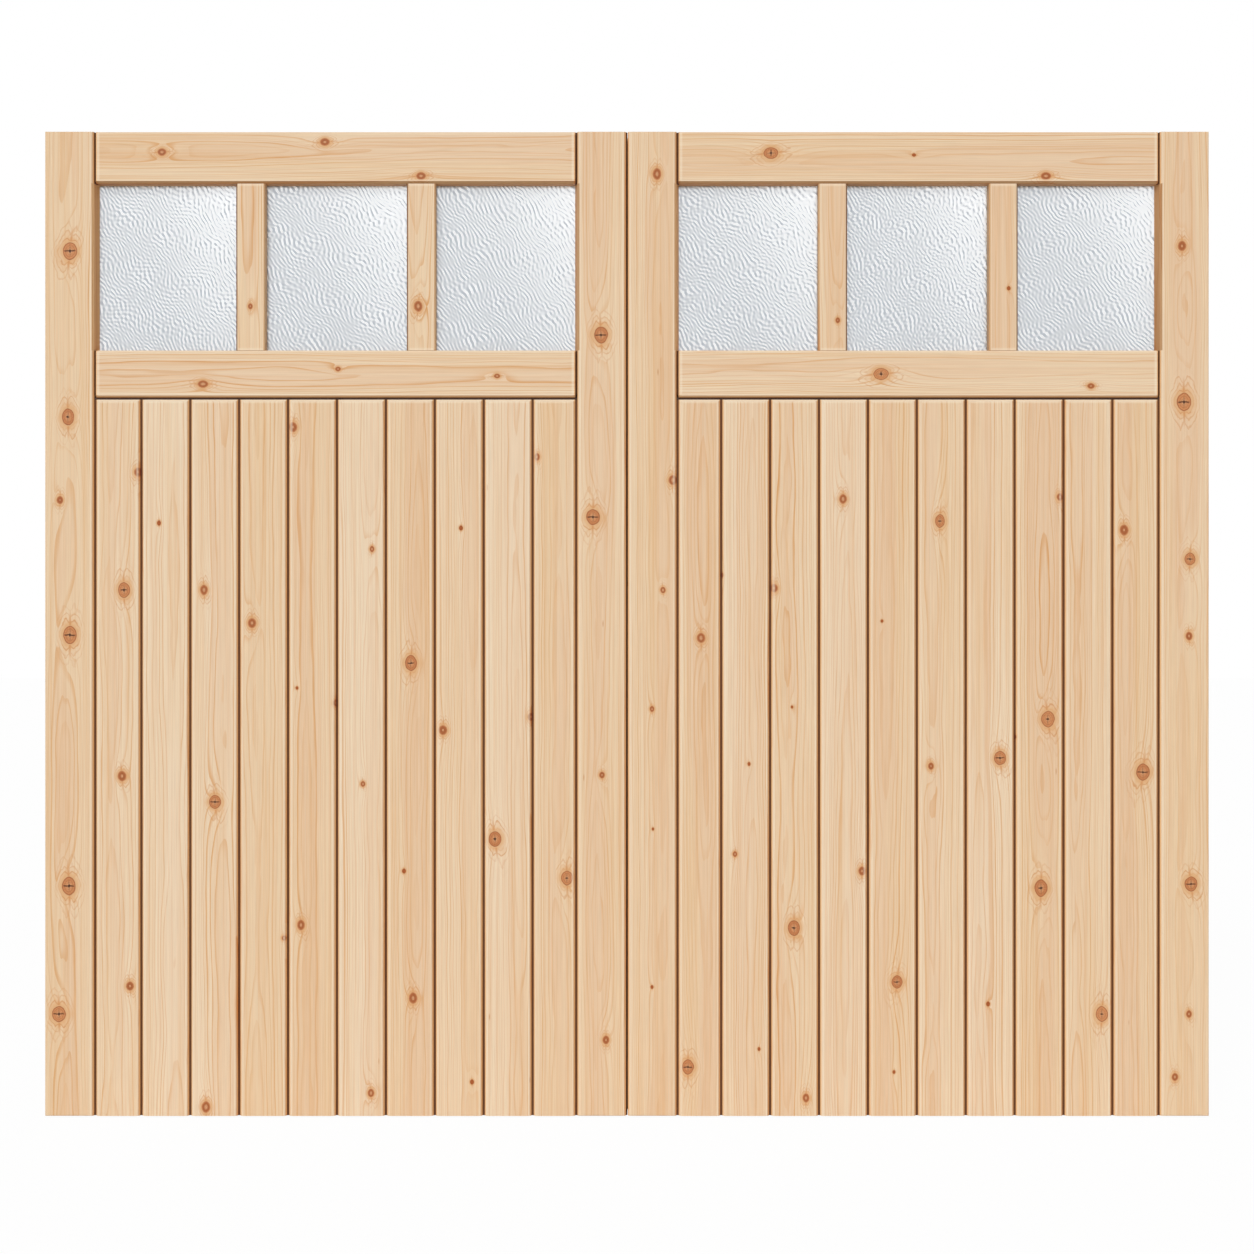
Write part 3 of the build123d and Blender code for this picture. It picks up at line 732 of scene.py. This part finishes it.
def dress_boards(side):
    tongue = {"left": "right", "right": "left"}[side]
    for number in range(1, BOARD_COUNT + 1):
        node = f"{side}_board_{number:02d}"
        low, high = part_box(node)
        span = (low.z - 1, high.z + 1)
        limits = {"left": low.x, "right": high.x}
        for direction, sign in (("left", 1), ("right", -1)):
            if direction == tongue or number == 1:
                limits[direction] += sign * TONGUE_LENGTH
        zones = [(direction, limit, "joint", *span) for direction, limit in limits.items()]
        zones.append(("up", PANEL_TOP - JOINT_GAP, "joint", *span))
        dress_timber(node, UPRIGHT, BOARD_WARMTH[side][number - 1], zones)


def dress_behind(side):
    """The brace and the beads, which show only from inside."""
    low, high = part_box(f"{side}_brace")
    slope = math.atan2(high.z - low.z, high.x - low.x)
    lean = slope if side == "left" else math.pi - slope
    dress_timber(f"{side}_brace", lean, 0.5, hidden_knots=5 if side == "left" else 0)

    node = f"{side}_glazing_beads"
    low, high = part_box(node)
    seed = next(seeds)
    level = pine_material(f"pine_{node}_level", low, high, LEVEL, seed, 0.4)
    upright = pine_material(f"pine_{node}_upright", low, high, UPRIGHT, seed, 0.4)
    beads = dress(node, level, upright)
    pitch = (high.x - low.x) / PANE_COUNT
    half_height = (high.z - low.z) / 2
    for face in beads.data.polygons:
        from_pane = (face.center.x - low.x) % pitch - pitch / 2
        from_middle = face.center.z - (low.z + high.z) / 2
        past_side = abs(from_pane) - pitch / 2
        past_end = abs(from_middle) - half_height
        face.material_index = 1 if past_side > past_end else 0


for side in SIDES:
    dress_stiles(side)
    dress_rails(side)
    dress_boards(side)
    dress_behind(side)
dress_timber("left_cover_strip", UPRIGHT, 0.5, hidden_knots=3)


def new_object(name, vertices, faces):
    mesh = bpy.data.meshes.new(name)
    mesh.from_pydata(vertices, [], faces)
    mesh.update()
    piece = bpy.data.objects.new(name, mesh)
    bpy.context.scene.collection.objects.link(piece)
    return piece


def ripple_height(x, z, seed):
    """Height of rolled glass: waves of one length that lie mostly across one direction."""
    chance = np.random.default_rng(seed)
    swing = 2 * math.pi / RIPPLE_SWAY
    phase = chance.uniform(0, 2 * math.pi, 4)
    bent_x = x + RIPPLE_BEND * np.cos(swing * (0.3 * x + 0.9 * z) + phase[0])
    bent_z = z + RIPPLE_BEND * np.cos(swing * (0.8 * x - 0.5 * z) + phase[1])
    height = np.zeros_like(x)
    for _ in range(RIPPLE_WAVES):
        length = RIPPLE_LENGTH * chance.uniform(0.78, 1.30)
        turn = math.radians(chance.normal(34, 20))
        start = chance.uniform(0, 2 * math.pi)
        across = bent_x * math.cos(turn) + bent_z * math.sin(turn)
        height += np.cos(2 * math.pi * across / length + start)
    return height / math.sqrt(RIPPLE_WAVES / 2)


def make_pane(name, low, high, seed):
    """A closed sheet with a rippled front and a plain back."""
    columns = round((high.x - low.x) / RIPPLE_GRID)
    rows = round((high.z - low.z) / RIPPLE_GRID)
    x, z = np.meshgrid(np.linspace(low.x, high.x, columns + 1), np.linspace(low.z, high.z, rows + 1))
    height = np.clip(ripple_height(x, z, seed), -RIPPLE_TOP, RIPPLE_TOP)
    front = np.stack([x, low.y + RIPPLE_HEIGHT * (RIPPLE_TOP - height), z], -1).reshape(-1, 3)
    start = np.arange(rows)[:, None] * (columns + 1) + np.arange(columns)[None, :]
    faces = np.stack([start, start + 1, start + columns + 2, start + columns + 1], -1)
    faces = faces.reshape(-1, 4).tolist()

    edge = list(range(columns))
    edge += [i * (columns + 1) + columns for i in range(rows)]
    edge += [rows * (columns + 1) + columns - i for i in range(columns)]
    edge += [(rows - i) * (columns + 1) for i in range(rows)]
    rim = front[edge].copy()
    rim[:, 1] = high.y
    first = len(front)
    for i in range(len(edge)):
        after = (i + 1) % len(edge)
        faces.append([edge[after], edge[i], first + i, first + after])
    faces.append([first + i for i in reversed(range(len(edge)))])

    pane = new_object(name, np.concatenate([front, rim]).tolist(), faces)

    # Painted light and shade on the ripples: lighter crests, darker troughs and a painted brightening
    # towards the upper right
    painted_ripple_light = pane.data.attributes.new("painted_ripple_light", "FLOAT", "POINT")
    across = (x - low.x) / (high.x - low.x)
    up = (z - low.z) / (high.z - low.z)
    value = height + 1.9 * (across - 0.5) * (0.35 + 0.65 * up) + 0.6 * (up - 0.5)
    value += 0.85 * np.maximum(0.5 - across, 0.0)
    value = np.concatenate([value.reshape(-1), np.zeros(len(rim))])
    painted_ripple_light.data.foreach_set("value", value.astype(np.float32))
    smooth = [True] * (len(start) * columns) + [False] * (len(edge) + 1)
    pane.data.polygons.foreach_set("use_smooth", smooth)
    return pane


def glass_material():
    """Pale rolled glass letting blurred light through, with painted light and shade on its ripples."""
    material = bpy.data.materials.new("rolled_glass")
    material.use_nodes = True
    g = Graph(material.node_tree)
    shader = material.node_tree.nodes["Principled BSDF"]
    painted_ripple_light = g.add("ShaderNodeAttribute", attribute_name="painted_ripple_light")
    # Painted shade in the troughs and painted light on the crests
    share = g.rise(painted_ripple_light.outputs["Fac"], -1.9, 1.7)
    g.feed(shader.inputs["Base Color"], g.mix(share, srgb(170, 177, 187), srgb(254, 255, 255)))
    # A painted glint: the crests glow faintly, though they are no lamp
    shader.inputs["Emission Color"].default_value = (1.0, 1.0, 1.0, 1.0)
    painted_glint = g.rise(painted_ripple_light.outputs["Fac"], -0.4, 2.2)
    g.feed(shader.inputs["Emission Strength"], g.times(painted_glint, 0.22))
    shader.inputs["Roughness"].default_value = 0.34
    shader.inputs["IOR"].default_value = 1.45
    shader.inputs["Transmission Weight"].default_value = 0.82
    shader.inputs["Specular IOR Level"].default_value = 0.3
    return material


GLASS = glass_material()


def make_glass(side, seed):
    """Rippled panes in place of the plain ones."""
    low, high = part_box(f"{side}_glass")
    bars = [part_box(f"{side}_glazing_bar_{number}") for number in (1, 2)]
    pitch = abs(bars[1][0].x - bars[0][0].x)
    width = high.x - low.x - (PANE_COUNT - 1) * pitch
    for number in range(PANE_COUNT):
        left = low.x + number * pitch
        pane = make_pane(f"{side}_pane_{number + 1}", Vector((left, low.y, low.z)),
                         Vector((left + width, high.y, high.z)), seed + number)
        pane.data.materials.append(GLASS)
        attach(pane, f"{side}_leaf")
        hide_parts(f"{side}_glass")


make_glass("left", 40)
make_glass("right", 60)


def steel_material():
    """Bright zinc plating with faint blotches."""
    material = bpy.data.materials.new("zinc_plate")
    material.use_nodes = True
    g = Graph(material.node_tree)
    shader = material.node_tree.nodes["Principled BSDF"]
    place = g.add("ShaderNodeTexCoord")
    spot = g.parts(place.outputs["Object"])
    blotch = g.noise(*(g.times(spot[i], 160) for i in range(3)), detail=4.0)
    scratch = g.noise(g.times(spot[0], 900), g.times(spot[1], 900), g.times(spot[2], 60))
    colour = g.mix(g.spread(blotch, 0.0, 1.0), srgb(146, 147, 147), srgb(198, 199, 198))
    g.feed(shader.inputs["Base Color"], colour)
    g.feed(shader.inputs["Roughness"], g.spread(blotch, 0.28, 0.44))
    bump = g.add("ShaderNodeBump")
    bump.inputs["Strength"].default_value = 0.15
    bump.inputs["Distance"].default_value = 0.0002
    g.feed(bump.inputs["Height"], scratch)
    g.feed(shader.inputs["Normal"], bump.outputs["Normal"])
    shader.inputs["Metallic"].default_value = 1.0
    return material


STEEL = steel_material()
for side in SIDES:
    dress(f"{side}_frame_hinges", STEEL)
    dress(f"{side}_door_hinges", STEEL)


def screw_mesh():
    """A low domed head with a cross cut into it, as points (across, up, out) and faces."""
    steps = np.linspace(-1, 1, SCREW_GRID + 1)
    a, b = np.meshgrid(steps, steps)
    across = a * np.sqrt(1 - b * b / 2)
    up = b * np.sqrt(1 - a * a / 2)
    round_off = 1 - (across ** 2 + up ** 2) ** 2
    upright = (np.abs(across) < CROSS_HALF_WIDTH) & (np.abs(up) < CROSS_ARM)
    level = (np.abs(up) < CROSS_HALF_WIDTH) & (np.abs(across) < CROSS_ARM)
    out = SCREW_RISE * round_off - CROSS_DEPTH * (upright | level)
    points = np.stack([across * SCREW_RADIUS, up * SCREW_RADIUS, out], -1).reshape(-1, 3)
    start = np.arange(SCREW_GRID)[:, None] * (SCREW_GRID + 1) + np.arange(SCREW_GRID)[None, :]
    faces = np.stack([start, start + 1, start + SCREW_GRID + 2, start + SCREW_GRID + 1], -1)
    return points, faces.reshape(-1, 4)


def make_screws(side):
    """The screws that hold the leaf's hinge plates, on their outer faces."""
    points, faces = screw_mesh()
    low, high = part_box(f"{side}_hanging_stile")
    face_x, out = (low.x, -1) if side == "left" else (high.x, 1)
    vertices, quads = [], []
    for level in HINGE_LEVELS:
        for y, z in SCREW_PLACES:
            first = len(vertices)
            vertices += [(face_x + out * p[2], y + out * p[0], level + z + p[1]) for p in points]
            quads += (faces + first).tolist()
    screws = new_object(f"{side}_hinge_screws", vertices, quads)
    screws.data.materials.append(STEEL)
    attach(screws, f"{side}_leaf")


for side in SIDES:
    make_screws(side)


def rubber_material():
    """Dark brown rubber with a dusty bloom."""
    material = bpy.data.materials.new("seal_rubber")
    material.use_nodes = True
    g = Graph(material.node_tree)
    shader = material.node_tree.nodes["Principled BSDF"]
    place = g.add("ShaderNodeTexCoord")
    spot = g.parts(place.outputs["Object"])
    bloom = g.noise(*(g.times(spot[i], 220) for i in range(3)), detail=4.0)
    colour = g.mix(g.spread(bloom, 0.0, 1.0), srgb(62, 36, 24), srgb(84, 54, 38))
    g.feed(shader.inputs["Base Color"], colour)
    g.feed(shader.inputs["Roughness"], g.spread(bloom, 0.62, 0.78))
    bump = g.add("ShaderNodeBump")
    bump.inputs["Strength"].default_value = 0.2
    bump.inputs["Distance"].default_value = 0.0002
    g.feed(bump.inputs["Height"], bloom)
    g.feed(shader.inputs["Normal"], bump.outputs["Normal"])
    return material


RUBBER = rubber_material()


def make_seal():
    """A ribbed strip on the left leaf's meeting edge, just clear of the other leaf."""
    low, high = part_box("left_meeting_stile")
    turn = np.linspace(0, 2 * math.pi, SEAL_STEPS + 1)
    reach = SEAL_BASE + (SEAL_REACH - SEAL_BASE) * np.sin(turn) ** 2
    places = FRONT + SEAL_SETBACK + SEAL_WIDTH * turn / turn[-1]
    outline = [(high.x + out, y) for out, y in zip(reach, places)]
    outline += [(high.x, places[-1]), (high.x, places[0])]
    count = len(outline)
    vertices = [(x, y, z) for z in (low.z, high.z) for x, y in outline]
    faces = [(i, (i + 1) % count, (i + 1) % count + count, i + count) for i in range(count)]
    faces += [tuple(reversed(range(count))), tuple(range(count, 2 * count))]
    seal = new_object("left_meeting_seal", vertices, faces)
    seal.data.materials.append(RUBBER)
    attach(seal, "left_leaf")


def make_joint_stops(side):
    """Rounded rubber stops that close the heads of the joints, between the end tongues."""
    panel = panel_edges(side)
    gaps = [panel["left"] + JOINT_GAP / 2, panel["right"] - JOINT_GAP / 2]
    for number in range(1, BOARD_COUNT):
        low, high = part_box(f"{side}_board_{number:02d}")
        if side == "left":
            gaps.append(high.x - TONGUE_LENGTH + JOINT_GAP / 2)
        else:
            gaps.append(low.x + TONGUE_LENGTH - JOINT_GAP / 2)
    turn = np.linspace(math.pi / 2, -math.pi / 2, STOP_STEPS + 1)
    middle = PANEL_TOP - JOINT_GAP / 2
    outline = [(FRONT + STOP_DEPTH - STOP_BULGE * math.cos(a), middle + STOP_HALF_HEIGHT * math.sin(a))
               for a in turn]
    outline += [(FRONT + STOP_DEPTH + STOP_BULGE, middle - STOP_HALF_HEIGHT),
                (FRONT + STOP_DEPTH + STOP_BULGE, middle + STOP_HALF_HEIGHT)]
    count = len(outline)
    vertices, faces = [], []
    for gap in sorted(gaps):
        first = len(vertices)
        for x in (gap - STOP_HALF_WIDTH, gap + STOP_HALF_WIDTH):
            vertices += [(x, y, z) for y, z in outline]
        for i in range(count):
            after = (i + 1) % count
            faces.append((first + i, first + after, first + after + count, first + i + count))
        faces.append(tuple(first + i for i in reversed(range(count))))
        faces.append(tuple(first + count + i for i in range(count)))
    stops = new_object(f"{side}_joint_stops", vertices, faces)
    stops.data.materials.append(RUBBER)
    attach(stops, f"{side}_leaf")


make_seal()
for side in SIDES:
    make_joint_stops(side)


def camera_share(g):
    """1 for rays that come from the camera, also by way of a reflection or through glass."""
    path = g.add("ShaderNodeLightPath")
    names = ("Is Camera Ray", "Is Glossy Ray", "Is Transmission Ray")
    return g.math("MINIMUM", g.plus(*(path.outputs[name] for name in names)), 1.0)


def make_floor():
    """A wide white floor that shows as white and still takes a soft shadow."""
    size = FLOOR_HALF_WIDTH
    corners = [(-size, -size), (size, -size), (size, size), (-size, size)]
    level = BOTTOM - FLOOR_GAP
    floor = new_object("floor", [(x + PAIR_MIDDLE, y, level) for x, y in corners], [(0, 1, 2, 3)])
    material = bpy.data.materials.new("floor_white")
    material.use_nodes = True
    g = Graph(material.node_tree)
    shader = material.node_tree.nodes["Principled BSDF"]
    shader.inputs["Base Color"].default_value = (0.88, 0.88, 0.88, 1.0)
    shader.inputs["Roughness"].default_value = 0.9
    glow = g.add("ShaderNodeEmission")
    blend = g.add("ShaderNodeMixShader")
    g.feed(blend.inputs[0], g.times(camera_share(g), FLOOR_WHITE))
    g.feed(blend.inputs[1], shader.outputs[0])
    g.feed(blend.inputs[2], glow.outputs[0])
    g.feed(material.node_tree.nodes["Material Output"].inputs["Surface"], blend.outputs[0])
    floor.data.materials.append(material)


def make_world():
    """An even sky of light that the camera sees as white."""
    world = bpy.data.worlds.new("studio")
    bpy.context.scene.world = world
    world.use_nodes = True
    g = Graph(world.node_tree)
    back = world.node_tree.nodes["Background"]
    strength = g.add("ShaderNodeMapRange")
    g.feed(strength.inputs["Value"], camera_share(g))
    strength.inputs["To Min"].default_value = SKY_LIGHT
    strength.inputs["To Max"].default_value = 1.0
    g.feed(back.inputs["Strength"], strength.outputs[0])
    back.inputs["Color"].default_value = (1.0, 1.0, 1.0, 1.0)


def make_key_light():
    """One broad lamp from the upper left in front of the doors."""
    lamp = bpy.data.lights.new("key", "SUN")
    lamp.energy = KEY_ENERGY
    lamp.angle = KEY_ANGLE
    key = bpy.data.objects.new("key", lamp)
    key.rotation_mode = "QUATERNION"
    key.rotation_quaternion = KEY_DIRECTION.to_track_quat("-Z", "Y")
    key.location = (-2.0, -4.0, 4.0)
    bpy.context.scene.collection.objects.link(key)


def make_camera():
    """Straight on, level with the middle of the photograph."""
    camera = bpy.data.cameras.new("camera")
    camera.sensor_width = SENSOR_WIDTH
    camera.lens = SENSOR_WIDTH * CAMERA_DISTANCE / (PHOTO_PIXELS * PHOTO_SCALE)
    eye = bpy.data.objects.new("camera", camera)
    half = PHOTO_PIXELS / 2
    x = LEFT_EDGE + (half - PHOTO_DOOR_LEFT) * PHOTO_SCALE
    z = BOTTOM + (PHOTO_DOOR_BOTTOM - half) * PHOTO_SCALE
    eye.location = (x, FRONT - CAMERA_DISTANCE, z)
    eye.rotation_euler = (math.pi / 2, 0, 0)
    bpy.context.scene.collection.objects.link(eye)
    bpy.context.scene.camera = eye


make_floor()
make_world()
make_key_light()
make_camera()
bpy.context.scene.view_settings.view_transform = "Standard"
